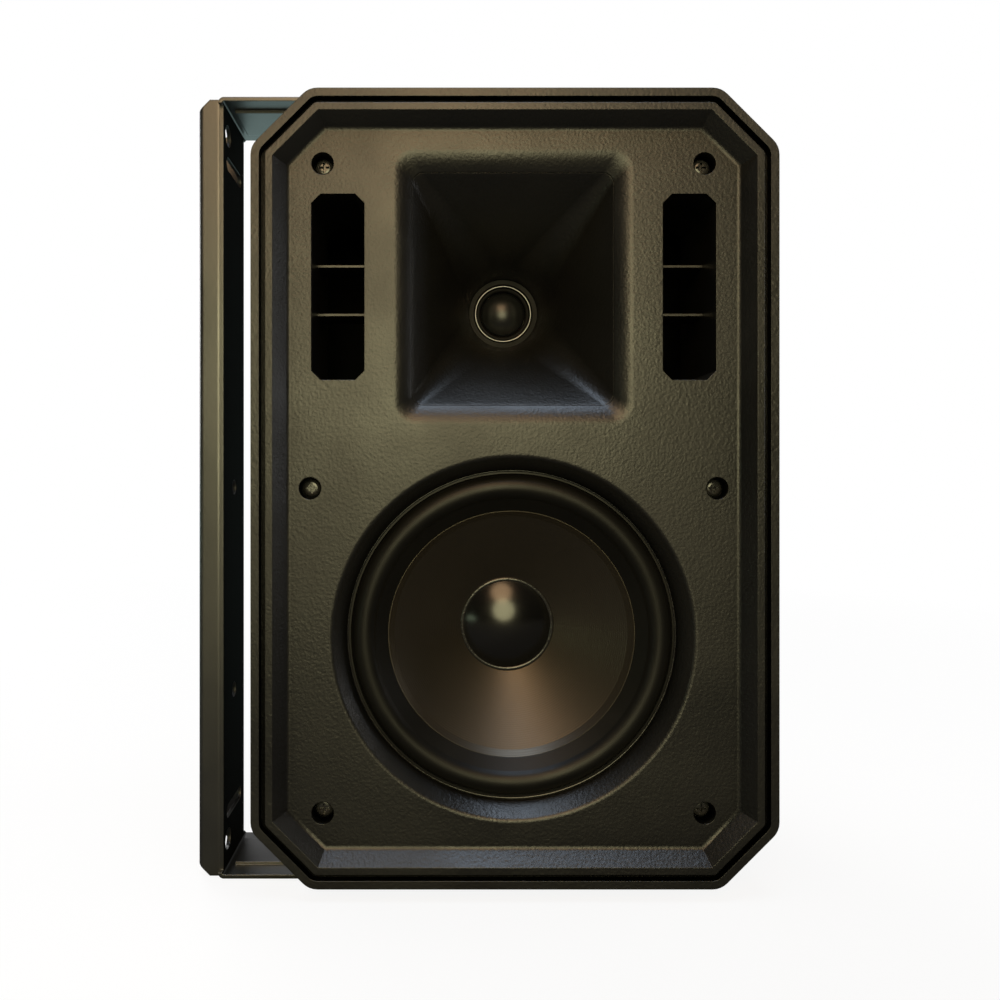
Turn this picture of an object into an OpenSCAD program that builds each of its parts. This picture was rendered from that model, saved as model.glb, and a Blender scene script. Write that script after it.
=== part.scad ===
// Two-way wall loudspeaker in a sheet-steel U-bracket.
// Origin: midway between the two round screw holes, on the spine's face that looks at the cabinet.
// The front looks along -Y, +X runs from the spine to the cabinet, +Z is up.
// Inside placed() the cabinet has its own frame: X right, Z up, Y the depth behind the front edge.

/* [Front frame] */
// Width of the front frame
front_w = 254; // [252:1:266]
// Height of the front frame
front_h = 385; // [382:1:400]
// Leg of the 45 degree corner cuts
corner_cut = 28; // [22:1:32]
// Rounding of the outline's eight corners
corner_round = 10; // [4:1:14]
// Depth of the skirt behind the front edge
rim_depth = 20; // [18:1:24]
// Width of the outer land of the rim
land_w = 4; // [3:0.5:5]
// Width of the shadow groove in the rim
groove_w = 3; // [2:0.5:4]
// Depth of the shadow groove
groove_depth = 4.5; // [3:0.5:5]
// Width of the land inside the groove
inner_land_w = 3.4; // [3:0.2:4.2]
// Width of the bevel that falls to the panel
bevel_w = 6.3; // [5:0.1:7]
// How far the panel lies behind the front edge
recess_depth = 7; // [6:0.5:8]
// Radius of the fillet between bevel and panel
bevel_fillet = 3; // [2:0.5:5]
// Thickness of the moulded panel
panel_t = 4.5; // [4:0.5:5.5]
// Thickness of the skirt
skirt_t = 4; // [3:0.5:5]

/* [Horn and tweeter] */
// Height of the horn's axis above the middle
horn_z = 98.5; // [95:0.5:102]
// Width of the panel between the horn's mouth and each port
port_gap = 20; // [19:0.5:26]
// Half height of the horn's mouth, without its rounded lip
mouth_half_h = 61.5; // [55:0.5:63]
// Corner radius of the horn's mouth
mouth_round = 4; // [3:0.5:8]
// Radius of the lip that blends the mouth into the panel
lip_r = 6; // [3:0.5:6.5]
// Depth from the panel to the throat
horn_depth = 65; // [55:1:70]
// How fast the horn narrows behind its mouth, where 1 is a straight wall
horn_curve = 1.5; // [1.1:0.05:1.8]
// Radius of the throat
throat_r = 19.4; // [18:0.2:20.5]
// Wall of the horn
horn_wall = 3; // [2.5:0.5:4]
// Radius of the tweeter's dome
dome_r = 12.5; // [11:0.5:13]
// Radius of the tweeter's magnet
tweeter_magnet_r = 34; // [28:1:36]
// Thickness of the tweeter's magnet
tweeter_magnet_t = 12; // [8:1:16]

/* [Woofer] */
// Height of the woofer's axis, below the middle
woofer_z = -73.5; // [-76:0.5:-72]
// Gap between the surround's roll and the wall of the opening
opening_gap = 2.1; // [1.5:0.1:3]
// How much wider the opening is at the panel
opening_flare = 6.5; // [4:0.5:7]
// Radius of the rounding between the opening and the panel
opening_round = 3; // [1:0.5:4]
// Depth of the woofer's seat behind the front edge
seat_depth = 17; // [15.5:0.5:19]
// Inner radius of the surround's roll
roll_in_r = 67.2; // [64:0.2:68]
// Width of the surround's roll
roll_width = 13.2; // [10:0.2:14]
// Radius of the dust cap
cap_r = 24.2; // [20:0.2:28]
// Radius of the voice coil former
former_r = 16; // [13:0.5:18]
// Radius of the woofer's magnet
magnet_r = 45; // [40:1:50]
// Thickness of the woofer's magnet
magnet_t = 15; // [10:1:20]
// Travel of the cone each way
cone_travel = 4; // [2:0.5:5]

/* [Ports] */
// Distance of each port's middle from the frame's side edge
port_in = 41; // [39.5:0.5:41.5]
// Height of the ports' middle
port_z = 98.5; // [96:0.5:99]
// Width of a port
port_w = 26; // [22:0.5:26]
// Height of a port
port_h = 91; // [80:1:92]
// Leg of the cuts at the corners of a port
port_cut = 4.5; // [3:0.5:6]
// Length of the port ducts behind the panel
port_len = 53; // [45:1:70]
// Wall of the port ducts
port_wall = 2; // [1.5:0.5:2.5]
// Depth of the cross ribs behind the panel
rib_recess = 21; // [10:1:30]

/* [Cabinet] */
// Depth of the cabinet behind the front edge
body_depth = 178; // [165:1:180]
// Wall of the cabinet
wall = 4; // [3:0.5:5]
// Flat edge of the back on each side of the terminal cup
back_edge = 5.4; // [3:0.2:10]
// Depth of the pivot axis behind the front edge
pivot_depth = 47; // [44:1:52]
// Distance of the middle screws from the frame's side edge
side_screw_in = 27.4; // [27:0.2:29]
// Distance of the corner screws from the frame's side edge
corner_screw_in = 33.6; // [33:0.2:36]
// Distance of the corner screws from the frame's top and bottom edges
corner_screw_down = 33.7; // [31:0.2:34]

/* [Bracket] */
// Thickness of the sheet
sheet = 2; // [1.5:0.5:2.5]
// Clearance between the turning cabinet and the spine
swing_gap = 9; // [6:0.5:20]
// Height between the arms
arm_gap = 394; // [394:1:410]
// Width of the arms
arm_w = 48; // [44:1:56]
// Width of the spine over its flanges
spine_w = 42; // [38:1:44]
// Depth of the spine's flanges
flange_d = 13; // [11:0.5:18]
// Width of the pressed band along the arms
band_w = 27; // [24:1:32]
// Depth of the pressed band
band_d = 1.5; // [1:0.5:1.5]
// Radius of the round screw holes
hole_r = 3.85; // [3:0.05:4.5]
// Distance between the two round screw holes
hole_spacing = 109; // [90:1:120]

/* [Terminals] */
// Height of the terminal cup's middle
cup_z = -30; // [-40:1:-20]
// Width of the terminal cup's pocket
pocket_w = 60; // [56:1:64]
// Height of the terminal cup's pocket
pocket_h = 42; // [40:1:50]
// Depth of the terminal cup's pocket
pocket_d = 20; // [19:1:24]
// Slope of the levers at rest
lever_slope = 32; // [30:1:40]

/* [Hidden] */
$fn = 96;
overcut = 1;

// Front frame
centre_z = hole_spacing / 2;
port_x = front_w / 2 - port_in;
mouth_half_w = port_x - port_w / 2 - port_gap;
bevel_inset = land_w + groove_w + inner_land_w;
panel_back = recess_depth + panel_t;
rim_floor = 2;
rim_wall = groove_depth + rim_floor;
hollow_inset = bevel_inset + 0.6;
chamfer_factor = 2 - sqrt(2);
fillet_tangent = tan(22.5);

// Cabinet
cup_margin = 8;
back_half_w = pocket_w / 2 + cup_margin + back_edge;
swing_r = norm([body_depth - pivot_depth, back_half_w]);
pivot_x = max(swing_r, norm([front_w / 2, pivot_depth])) + swing_gap;
gasket_t = 1;
body_inset = hollow_inset + 0.5;
body_front = panel_back + gasket_t;
body_half_w = front_w / 2 - body_inset;
body_half_h = front_h / 2 - body_inset;
side_taper = 0.03;
back_round = 20;
back_blend = 12;
shell_rings = 11;
boss_r = 6;
boss_end = 60;
boss_rib_t = 3;
boss_rib_len = 30;
boss_step = 8;
pilot_r = 1.9;
screw_boss_r = 8.5;
screw_boss_end = panel_back + 6.5;
counterbore_r = 5.5;
counterbore_end = screw_boss_end - 2.5;
screw_hole_r = 2.3;
flare_steps = 4;
flare_wall = 1.5;
screw_places = [
    for (sx = [-1, 1]) each [
        [sx * (front_w / 2 - side_screw_in), 0],
        for (sz = [-1, 1]) [sx * (front_w / 2 - corner_screw_in), sz * (front_h / 2 - corner_screw_down)]
    ]
];

// Pivot
bolt_r = 4;
bolt_fit = 0.08;
insert_r = 7;
insert_len = 16;
shim_t = 1.5;
spacer_t = 6.5;
washer_t = 1.6;
head_t = 5.3;
washer_r = 9;
bolt_head_r = 7.5;
band_face = arm_gap / 2 - band_d;
pad_face = band_face - shim_t - spacer_t;
pad_r = 21;
pivot_boss_r = 12;
pivot_boss_depth = insert_len + 5;
spacer_r = 18;
shim_r = 13;

// Bracket
bend_in = 1;
bend_out = bend_in + sheet;
flange_bend_in = 1.6;
lip_len = 5;
flange_cut = 6;
band_start = 1;
slot_h = 7;
slot_len = 30;
slot_z = 169.5;
corner_hole_r = 5.4;
corner_hole_y = -12;
corner_hole_z = 184;

// Horn and tweeter
throat_depth = recess_depth + horn_depth;
horn_flange_w = 8;
horn_flange_t = 3;
tweeter_flange_r = 47;
tweeter_flange_t = 6;
tweeter_pilot_r = 1.3;
faceplate_r = 46;
faceplate_t = 3;
roll_w = 3.4;
tweeter_screw_r = 40.5;
tweeter_gap_r = dome_r + 1.2;
tweeter_plate_t = 4;
tweeter_plate_front = throat_depth + faceplate_t + 0.4;

// Woofer
roll_out_r = roll_in_r + roll_width;
opening_r = roll_out_r + opening_gap;
surround_foot = 4.8;
surround_edge_r = roll_out_r + surround_foot;
screw_land = 4.3;
woofer_screw_r = surround_edge_r + screw_land;
frame_land = 4.5;
frame_r = woofer_screw_r + frame_land;
seat_margin = 2;
seat_ring_r = frame_r + seat_margin;
gasket_squash = 0.8;
frame_t = 3;
surround_t = 0.7;
surround_front = seat_depth + gasket_squash;
frame_front = surround_front + surround_t;
plate_front = 71;
plate_t = 6;
plate_hole_r = former_r + 1.2;
coil_back = plate_front + plate_t + cone_travel / 2;
cone_front = frame_front - 0.2;
cone_neck_r = former_r + 0.2;
cone_neck_depth = 50;
cone_t = 0.8;
cone_glue_w = 5.2;
cone_edge_r = roll_in_r - cone_glue_w;
cone_steps = 16;
ledge_depth = 58;
basket_t = 1.6;
window_in = 7;
window_near_w = 13;
window_far_w = 34;

// Ports
duct_flange_w = 2.5;
duct_flange_t = 2.5;
rib_t = 1.2;
rib_depth = 22;
rib_offsets = [15.5, -9.5];

// Terminals and crossover
cup_plate_t = 3;
cup_wall = 2.5;
cup_floor = body_depth - pocket_d;
lever_w = 13;
lever_len = 15;
lever_t = 2.4;
lever_x = 14;
lever_pin_r = 1.6;
lever_fit = 0.06;
lever_press = 18;
lever_hinge_y = cup_floor + 7;
lever_hinge_z = cup_z + 12;
ear_t = 2;
board_t = 1.6;
board_w = 88;
board_h = 62;
standoff_len = 10;
board_back = cup_floor - cup_wall - standoff_len;
board_front = board_back - board_t;
board_screw_x = 27;
board_screw_z = 17;
inductor_big = [15, 18];
inductor_big_z = 14.5;
inductor_little = [11, 14];
inductor_little_x = 31;
capacitor_r = 6;
capacitor_step = 1;
capacitor_len = 24;
capacitor_x = -14;
capacitor_z = -9;
capacitor_pitch = 13.5;
resistor_x = 31;
resistor_w = 9;
resistor_h = 22;
damping_t = 14;
damping_gap = 5.4;
damping_rise = 32;
damping_round = 6;

// Fasteners: head radius, head height, shank radius and length
baffle_screw = [4.7, 3.2, 1.85, 28];
woofer_screw = [3.6, 2.4, 1.5, 6];
tweeter_screw = [3, 2, 1.25, 7];
cup_screw = [2.8, 1.8, 1.25, 8];
board_screw = [2.2, 1.5, 0.95, 8];
woofer_pilot_r = 1.6;

// A ring of points at depth y, from an outline in the X-Z plane
function at_depth(outline, y) = [for (p = outline) [p.x, y, p.y]];

function arc_points(cx, cz, r, from, to, n) = [
    for (i = [0:n]) let (a = from + (to - from) * i / n) [cx + r * cos(a), cz + r * sin(a)]
];

// The other three quarters of an outline that is the same on both sides of both axes
function four_ways(q) = concat(
    q,
    [for (i = [len(q) - 1:-1:0]) [-q[i].x, q[i].y]],
    [for (p = q) [-p.x, -p.y]],
    [for (i = [len(q) - 1:-1:0]) [q[i].x, -q[i].y]]
);

// Rectangle with 45 degree corner cuts whose corners are rounded
function soft_octagon(half_w, half_h, cut, r, n = 4) = four_ways(concat(
    arc_points(half_w - r, half_h - cut - r * fillet_tangent, r, 0, 45, n),
    arc_points(half_w - cut - r * fillet_tangent, half_h - r, r, 45, 90, n)
));

function sharp_octagon(half_w, half_h, cut) = four_ways([[half_w, half_h - cut], [half_w - cut, half_h]]);

function soft_rectangle(half_w, half_h, r, n = 9) = four_ways(arc_points(half_w - r, half_h - r, r, 0, 90, n));

// Solid skin over rings that hold the same number of points
module loft(rings) {
    n = len(rings[0]);
    last = (len(rings) - 1) * n;
    quads = [
        for (j = [0:len(rings) - 2]) for (i = [0:n - 1])
            let (a = j * n + i, b = j * n + (i + 1) % n) each [[a, b, b + n], [a, b + n, a + n]]
    ];
    polyhedron(
        [for (ring = rings) each ring],
        concat([[for (i = [n - 1:-1:0]) i]], quads, [[for (i = [0:n - 1]) last + i]])
    );
}

// Moves the cabinet's own frame to its place in the bracket
module placed() translate([pivot_x, -pivot_depth, centre_z]) children();

// Extrudes an X-Z outline from one depth to another
module deep(y0, y1) translate([0, y1, 0]) rotate([90, 0, 0]) linear_extrude(y1 - y0) children();

// Turns a profile of radius and depth about an axis along Y
module turned(x, z) translate([x, 0, z]) rotate([-90, 0, 0]) rotate_extrude() children();

module rod(x, z, y0, y1, r) translate([x, y0, z]) rotate([-90, 0, 0]) cylinder(h = y1 - y0, r = r);

module tube(x, z, y0, y1, r_out, r_in) difference() {
    rod(x, z, y0, y1, r_out);
    rod(x, z, y0 - overcut, y1 + overcut, r_in);
}

module block(x0, x1, y0, y1, z0, z1) translate([x0, y0, z0]) cube([x1 - x0, y1 - y0, z1 - z0]);

// Cross-recess pan screw that points along +Y, its head's seat at depth y
module screw_in(x, z, y, size) let (head_r = size[0], head_h = size[1], r = size[2], len = size[3]) difference() {
    union() {
        turned(x, z) polygon(concat(
            [[0, y]],
            [[head_r, y]],
            [for (i = [1:5]) let (a = 90 * i / 5) [head_r * cos(a * 0.72), y - head_h * sin(a)]],
            [[0, y - head_h]]
        ));
        rod(x, z, y, y + len, r);
    }
    for (turn = [0, 90])
        translate([x, y - head_h - overcut, z]) rotate([0, turn, 0])
            translate([-head_r * 0.55, 0, -head_r * 0.12])
                cube([head_r * 1.1, overcut + head_h * 0.62, head_r * 0.24]);
}

// The same screw driven from behind, pointing along -Y
module screw_out(x, z, y, size)
    translate([0, 2 * y, 0]) mirror([0, 1, 0]) screw_in(x, z, y, size);

module frame_outline(inset) polygon(soft_octagon(
    front_w / 2 - inset, front_h / 2 - inset,
    corner_cut - inset * chamfer_factor, max(corner_round - inset, 1.5)
));

// The recess inside the rim at step s: down the flat bevel, then round the fillet into the panel
function recess_ring(s) =
    let (
        slope = bevel_w / recess_depth,
        lean = atan(slope),
        turn = (90 - lean) * max(s, 0),
        start_y = recess_depth - bevel_fillet * (1 - sin(lean)),
        y = s < 0 ? -overcut : start_y + bevel_fillet * (sin(lean + turn) - sin(lean)),
        inset = bevel_inset + (s < 0 ? -overcut * slope : start_y * slope + bevel_fillet * (cos(lean) - cos(lean + turn)))
    )
    at_depth(sharp_octagon(front_w / 2 - inset, front_h / 2 - inset, corner_cut - inset * chamfer_factor), y);

// Section of the horn at a depth behind the panel, grown outward by a wall
function horn_ring(d, grow) =
    let (
        s = 1 - pow(1 - min(max(d, 0), horn_depth) / horn_depth, horn_curve),
        lip = d < lip_r ? lip_r - sqrt(lip_r * lip_r - pow(lip_r - max(d, 0), 2)) : 0,
        half_w = mouth_half_w + (throat_r - mouth_half_w) * s + lip + grow,
        half_h = mouth_half_h + (throat_r - mouth_half_h) * s + lip + grow,
        r = mouth_round + (throat_r - mouth_round) * s + lip + grow
    )
    [for (p = at_depth(soft_rectangle(half_w, half_h, min(r, half_w)), recess_depth + d)) p + [0, 0, horn_z]];

// A point at step s of the rounding that joins the panel to the opening's sloping wall
function flare_point(s) =
    let (
        turn = 90 - atan(opening_flare / (seat_depth - flare_wall - recess_depth)),
        tangent = opening_round * tan(turn / 2)
    )
    [
        opening_r + opening_flare + tangent - opening_round * sin(turn * s),
        recess_depth + opening_round * (1 - cos(turn * s))
    ];

horn_stations = [for (k = [0.15, 0.3, 0.45, 0.6, 0.75, 0.88, 1]) lip_r + (horn_depth - lip_r) * k];

module horn_cavity() loft([
    for (d = concat([-overcut], lip_r * [0, 0.06, 0.22, 0.45, 0.7, 1], horn_stations, [horn_depth + overcut]))
        horn_ring(d, 0)
]);

module horn_flange() translate([0, 0, horn_z]) deep(panel_back, panel_back + horn_flange_t)
    polygon(soft_rectangle(mouth_half_w + horn_flange_w, mouth_half_h + horn_flange_w, mouth_round + horn_wall, 4));

module horn_flare() color([0.11, 0.11, 0.11]) placed() difference() {
    union() {
        loft([for (d = concat([panel_t, lip_r], horn_stations)) horn_ring(d, horn_wall)]);
        horn_flange();
        tube(0, horn_z, throat_depth - tweeter_flange_t, throat_depth, tweeter_flange_r, throat_r - 1);
    }
    horn_cavity();
    for (i = [0:2]) tweeter_screw_place(i)
        rod(0, 0, throat_depth - tweeter_flange_t + 1, throat_depth + overcut, tweeter_pilot_r);
}

module port_outline(grow) polygon(sharp_octagon(
    port_w / 2 + grow, port_h / 2 + grow, port_cut + grow * chamfer_factor
));

module at_ports() for (sx = [-1, 1]) translate([sx * port_x, 0, port_z]) children();

module front_baffle() color([0.12, 0.12, 0.12]) placed() difference() {
    union() {
        difference() {
            deep(0, rim_depth) frame_outline(0);
            deep(panel_back, rim_depth + overcut) frame_outline(skirt_t);
            difference() {
                deep(rim_wall, panel_back + overcut) frame_outline(skirt_t);
                deep(rim_wall - overcut, panel_back + 2 * overcut) frame_outline(hollow_inset);
            }
        }
        rod(0, woofer_z, panel_back - overcut, seat_depth, seat_ring_r);
        for (p = screw_places) rod(p.x, p.y, panel_back - overcut, screw_boss_end, screw_boss_r);
    }
    loft([for (s = [-1, 0, 0.25, 0.5, 0.75, 1]) recess_ring(s)]);
    difference() {
        deep(-overcut, groove_depth) frame_outline(land_w);
        deep(-2 * overcut, groove_depth + overcut) frame_outline(land_w + groove_w);
    }
    horn_cavity();
    turned(0, woofer_z) polygon(concat(
        [[0, recess_depth - overcut], [flare_point(0).x, recess_depth - overcut]],
        [for (i = [0:flare_steps]) flare_point(i / flare_steps)],
        [[opening_r, seat_depth - flare_wall], [opening_r, seat_depth + overcut], [0, seat_depth + overcut]]
    ));
    at_ports() deep(recess_depth - overcut, panel_back + overcut) port_outline(0);
    for (p = screw_places) {
        rod(p.x, p.y, recess_depth - overcut, counterbore_end, counterbore_r);
        rod(p.x, p.y, counterbore_end - overcut, screw_boss_end + overcut, screw_hole_r);
    }
    for (i = [0:5]) woofer_screw_place(i) rod(0, 0, panel_back + 1.5, seat_depth + overcut, woofer_pilot_r);
}

module baffle_screws() color([0.16, 0.16, 0.17]) placed()
    for (p = screw_places) screw_in(p.x, p.y, counterbore_end, baffle_screw);

// Cabinet: half width and half height of its section at a depth
function body_w_at(y) =
    let (
        side = body_half_w - side_taper * (y - body_front),
        curve = sqrt(max(swing_r * swing_r - pow(y - pivot_depth, 2), 1))
    )
    pow(pow(side, -back_blend) + pow(curve, -back_blend), -1 / back_blend);

function body_h_at(y) =
    let (over = max(y - (body_depth - back_round), 0))
    body_half_h - side_taper * (y - body_front) - back_round + sqrt(back_round * back_round - over * over);

function shell_ring(y, inset) =
    let (
        s = (y - body_front) / (body_depth - body_front),
        w = body_w_at(y) - inset,
        h = body_h_at(y) - inset,
        cut = corner_cut - body_inset * chamfer_factor + 8 * s - inset * chamfer_factor
    )
    at_depth(soft_octagon(w, h, min(cut, w * 0.7), max(6 + 12 * s - inset, 2), 3), y);

module shell_skin(inset, from, to) loft([
    for (i = [0:shell_rings]) let (s = sin(90 * i / shell_rings), y = from + (to - from) * s)
        [for (p = shell_ring(min(y, body_depth), inset)) [p.x, y, p.z]]
]);

module cup_outline(grow) polygon(soft_rectangle(pocket_w / 2 + grow, pocket_h / 2 + grow, 3 + grow, 4));

module at_cup_screws() for (sx = [-1, 1]) for (sz = [-1, 1])
    translate([sx * (pocket_w / 2 + cup_margin / 2 + 0.5), 0, cup_z + sz * (pocket_h / 2 + cup_margin / 2 - 1)]) children();

module cabinet_shell() color([0.1, 0.1, 0.1]) placed() difference() {
    union() {
        difference() {
            shell_skin(0, body_front, body_depth);
            shell_skin(wall, body_front - overcut, body_depth - wall);
        }
        intersection() {
            union() for (p = screw_places) {
                rod(p.x, p.y, screw_boss_end, boss_end, boss_r);
                side = p.x > 0 ? 1 : -1;
                translate([p.x + (side < 0 ? -boss_rib_len : 0), screw_boss_end + 1, p.y - boss_rib_t / 2])
                    cube([boss_rib_len, boss_end - screw_boss_end - boss_step, boss_rib_t]);
                if (p.y != 0)
                    translate([p.x - boss_rib_t / 2, screw_boss_end + 1, p.y > 0 ? p.y : p.y - boss_rib_len])
                        cube([boss_rib_t, boss_end - screw_boss_end - boss_step, boss_rib_len]);
            }
            shell_skin(wall / 2, body_front, body_depth);
        }
        for (side = [-1, 1]) translate([0, pivot_depth, 0]) mirror([0, 0, side < 0 ? 1 : 0]) {
            translate([0, 0, body_half_h - wall]) cylinder(h = pad_face - body_half_h + wall, r = pad_r);
            translate([0, 0, pad_face - pivot_boss_depth]) cylinder(h = pivot_boss_depth, r = pivot_boss_r);
        }
    }
    for (p = screw_places) rod(p.x, p.y, screw_boss_end - overcut, boss_end - 6, pilot_r);
    for (side = [-1, 1]) translate([0, pivot_depth, 0]) mirror([0, 0, side < 0 ? 1 : 0])
        translate([0, 0, pad_face - insert_len]) cylinder(h = insert_len + overcut, r = insert_r);
    translate([0, 0, cup_z]) deep(body_depth - 2 * wall, body_depth + overcut) cup_outline(cup_wall + 0.3);
    at_cup_screws() rod(0, 0, body_depth - wall - overcut, body_depth + overcut, 1.3);
}

module cabinet_gasket() color([0.2, 0.2, 0.2]) placed() difference() {
    deep(panel_back, body_front) frame_outline(body_inset);
    deep(panel_back - overcut, body_front + overcut) frame_outline(body_inset + wall);
}

// Pivots
module at_pivots() translate([pivot_x, 0, centre_z]) {
    children();
    mirror([0, 0, 1]) children();
}

module washer(z, t, r_out, r_in) translate([0, 0, z]) difference() {
    cylinder(h = t, r = r_out);
    translate([0, 0, -overcut]) cylinder(h = t + 2 * overcut, r = r_in);
}

module pivot_inserts() color([0.75, 0.6, 0.3]) at_pivots() washer(pad_face - insert_len, insert_len, insert_r, bolt_r + 0.05);

module pivot_spacers() color([0.08, 0.08, 0.08]) at_pivots() washer(pad_face, spacer_t, spacer_r, bolt_r + 0.3);

module pivot_shims() color([0.6, 0.6, 0.62]) at_pivots() washer(pad_face + spacer_t, shim_t, shim_r, bolt_r + 0.3);

washer_z = arm_gap / 2 - band_d + sheet;

module pivot_washers() color([0.3, 0.3, 0.32]) at_pivots() washer(washer_z, washer_t, washer_r, bolt_r + 0.3);

module pivot_bolts() color([0.25, 0.25, 0.27]) at_pivots() {
    translate([0, 0, pad_face - insert_len + 2]) cylinder(h = washer_z + washer_t - pad_face + insert_len - 2, r = bolt_r);
    translate([0, 0, washer_z + washer_t]) difference() {
        cylinder(h = head_t, r = bolt_head_r, $fn = 6);
        translate([0, 0, head_t]) rotate_extrude() polygon([[bolt_head_r - 1.3, 1], [bolt_head_r + 0.3, 1], [bolt_head_r + 0.3, -0.8]]);
    }
}

// Bracket
module spine_section() {
    flat = spine_w / 2 - bend_out;
    translate([-sheet, -flat]) square([sheet, 2 * flat]);
    for (side = [-1, 1]) mirror([0, side < 0 ? 1 : 0]) {
        translate([-bend_out, flat]) quarter_ring(0, bend_in, bend_out);
        translate([-flange_d + bend_out - 0.4, spine_w / 2 - sheet]) square([flange_d - 2 * bend_out + 0.4, sheet]);
        translate([-flange_d + bend_out - 0.4, flat + 0.4]) quarter_ring(90, flange_bend_in, bend_out - 0.4);
        translate([-flange_d, flat + 0.4 - lip_len]) square([sheet, lip_len]);
    }
}

module quarter_ring(turn, r_in, r_out) rotate(turn) intersection() {
    difference() {
        circle(r_out);
        circle(r_in);
    }
    square(r_out + 1);
}

module arm() difference() {
    union() {
        linear_extrude(sheet) {
            translate([bend_in, -arm_w / 2]) square([pivot_x - bend_in, arm_w]);
            translate([pivot_x, 0]) circle(arm_w / 2);
        }
        translate([0, 0, -band_d]) linear_extrude(band_d) band_outline(band_w);
    }
    translate([0, 0, sheet - band_d]) linear_extrude(band_d + overcut) band_outline(band_w - 2 * sheet);
    translate([pivot_x, 0, -band_d - overcut]) cylinder(h = sheet + band_d + 2 * overcut, r = bolt_r + bolt_fit);
}

module band_outline(w) {
    translate([bend_out + band_start, -w / 2]) square([pivot_x - bend_out - band_start, w]);
    translate([pivot_x, 0]) circle(w / 2);
}

module bracket() color([0.13, 0.13, 0.14]) translate([0, 0, centre_z]) difference() {
    union() {
        for (side = [0, 1]) mirror([0, 0, side]) {
            translate([0, 0, arm_gap / 2]) arm();
            translate([bend_in, arm_w / 2, arm_gap / 2 - bend_in]) rotate([90, 0, 0])
                linear_extrude(arm_w) quarter_ring(90, bend_in, bend_out);
        }
        translate([-sheet, -spine_w / 2, bend_in - arm_gap / 2]) cube([sheet, spine_w, arm_gap - 2 * bend_in]);
        translate([0, 0, -arm_gap / 2 - sheet]) linear_extrude(arm_gap + 2 * sheet) spine_section();
    }
    for (sz = [-1, 1]) translate([-flange_d, 0, sz * (arm_gap / 2 + sheet)]) rotate([0, 45, 0])
        cube([flange_cut * sqrt(2), spine_w + overcut, flange_cut * sqrt(2)], center = true);
    for (z = [0, -hole_spacing]) spine_hole(0, z, hole_r);
    for (sz = [-1, 1]) {
        spine_hole(corner_hole_y, sz * corner_hole_z, corner_hole_r);
        for (dy = [-1, 1]) spine_hole(dy * (slot_len - slot_h) / 2, sz * slot_z, slot_h / 2);
        translate([-sheet - overcut, -(slot_len - slot_h) / 2, sz * slot_z - slot_h / 2])
            cube([sheet + 2 * overcut, slot_len - slot_h, slot_h]);
    }
}

module spine_hole(y, z, r) translate([-sheet - overcut, y, z]) rotate([0, 90, 0]) cylinder(h = sheet + 2 * overcut, r = r);

// Ports
module port_duct() difference() {
    union() {
        deep(panel_back, panel_back + port_len) port_outline(port_wall);
        deep(panel_back, panel_back + duct_flange_t) port_outline(port_wall + duct_flange_w);
    }
    difference() {
        deep(panel_back - overcut, panel_back + port_len + overcut) port_outline(0);
        for (z = rib_offsets)
            block(-port_w, port_w, recess_depth + rib_recess, recess_depth + rib_recess + rib_depth, z - rib_t / 2, z + rib_t / 2);
    }
}

module port_duct_left() color([0.2, 0.2, 0.2]) placed() translate([-port_x, 0, port_z]) port_duct();

module port_duct_right() color([0.2, 0.2, 0.2]) placed() translate([port_x, 0, port_z]) port_duct();

// Woofer
module woofer_screw_place(i) translate([0, 0, woofer_z]) rotate([0, 30 + 60 * i, 0]) translate([woofer_screw_r, 0, 0]) children();

module woofer_gasket() color([0.15, 0.15, 0.15]) placed() difference() {
    tube(0, woofer_z, seat_depth, surround_front, frame_r, surround_edge_r);
    for (i = [0:5]) woofer_screw_place(i) rod(0, 0, seat_depth - overcut, frame_front + overcut, 2);
}

module woofer_frame() color([0.16, 0.16, 0.17]) placed() difference() {
    turned(0, woofer_z) polygon([
        [roll_out_r, frame_front],
        [surround_edge_r + 0.1, frame_front],
        [surround_edge_r + 0.1, surround_front],
        [frame_r, surround_front],
        [frame_r, surround_front + frame_t],
        [roll_out_r + 1.5, surround_front + frame_t],
        [roll_out_r, surround_front + frame_t + 3],
        [magnet_r + 4, ledge_depth],
        [magnet_r + 4, ledge_depth + basket_t],
        [magnet_r - 1, ledge_depth + basket_t],
        [magnet_r - 1, plate_front],
        [plate_hole_r + 6, plate_front],
        [plate_hole_r + 6, plate_front - basket_t],
        [magnet_r - 1 - basket_t, plate_front - basket_t],
        [magnet_r - 1 - basket_t, ledge_depth],
        [magnet_r + 4 - 2 * basket_t, ledge_depth],
        [magnet_r + 4 - 2 * basket_t, ledge_depth - basket_t],
        [roll_out_r - 2 * basket_t, surround_front + frame_t + 2],
        [roll_out_r - basket_t, surround_front + frame_t]
    ]);
    for (i = [0:5]) {
        woofer_screw_place(i) rod(0, 0, seat_depth - overcut, surround_front + frame_t + overcut, 2);
        translate([0, 0, woofer_z]) rotate([0, 60 * i, 0]) deep(surround_front + frame_t + 7, ledge_depth - 3)
            polygon([
                [magnet_r - window_in, -window_near_w],
                [frame_r + overcut, -window_far_w],
                [frame_r + overcut, window_far_w],
                [magnet_r - window_in, window_near_w]
            ]);
    }
}

module woofer_surround() color([0.06, 0.06, 0.06]) placed() turned(0, woofer_z) {
    mid = (roll_out_r + roll_in_r) / 2;
    r = (roll_out_r - roll_in_r) / 2;
    intersection() {
        translate([mid, frame_front]) difference() {
            circle(r);
            circle(r - surround_t);
        }
        translate([roll_in_r - 1, frame_front - 2 * r]) square([4 * r, 2 * r]);
    }
    translate([roll_out_r - surround_t, surround_front]) square([surround_edge_r - roll_out_r + surround_t, surround_t]);
    translate([cone_edge_r, cone_front - surround_t]) square([roll_in_r - cone_edge_r + surround_t, surround_t]);
}

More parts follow.
